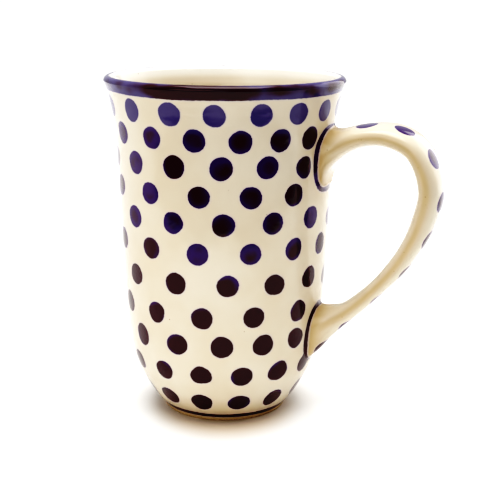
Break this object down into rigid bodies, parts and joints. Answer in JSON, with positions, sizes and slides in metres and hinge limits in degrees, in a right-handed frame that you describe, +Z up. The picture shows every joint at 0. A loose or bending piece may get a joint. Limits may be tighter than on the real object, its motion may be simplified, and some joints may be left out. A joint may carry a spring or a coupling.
{
  "type": "stoneware mug",
  "caption": "Tall flared stoneware mug with a tapering strap handle, cream glaze with hand-stamped cobalt dots, a cobalt lip band and lines round the handle's joints.",
  "frame": {"origin": "on the plane the mug stands on, under the middle of its whole footprint with the handle; the axis of the body stands 19 mm to -X of it", "axes": "+Z up, along the axis of the body; +X towards the handle, whose strap lies in the XZ plane; Y across the mug, its shortest side"},
  "size_m": [0.1266, 0.0886, 0.126],
  "materials": {
    "glazed_body": "clear gloss glaze over cream stoneware, cobalt dots and lip band under it, bare tan clay on the foot ring",
    "glazed_handle": "clear gloss glaze over cream stoneware, one row of cobalt dots along the outer face",
    "joint_slip": "sponged slip fillet under the same clear glaze, ringed by a brushed cobalt line"
  },
  "bodies": {
    "root": {"body": "glazed_body", "handle": "glazed_handle", "upper_joint_slip": "joint_slip", "lower_joint_slip": "joint_slip"}
  },
  "joints": []
}
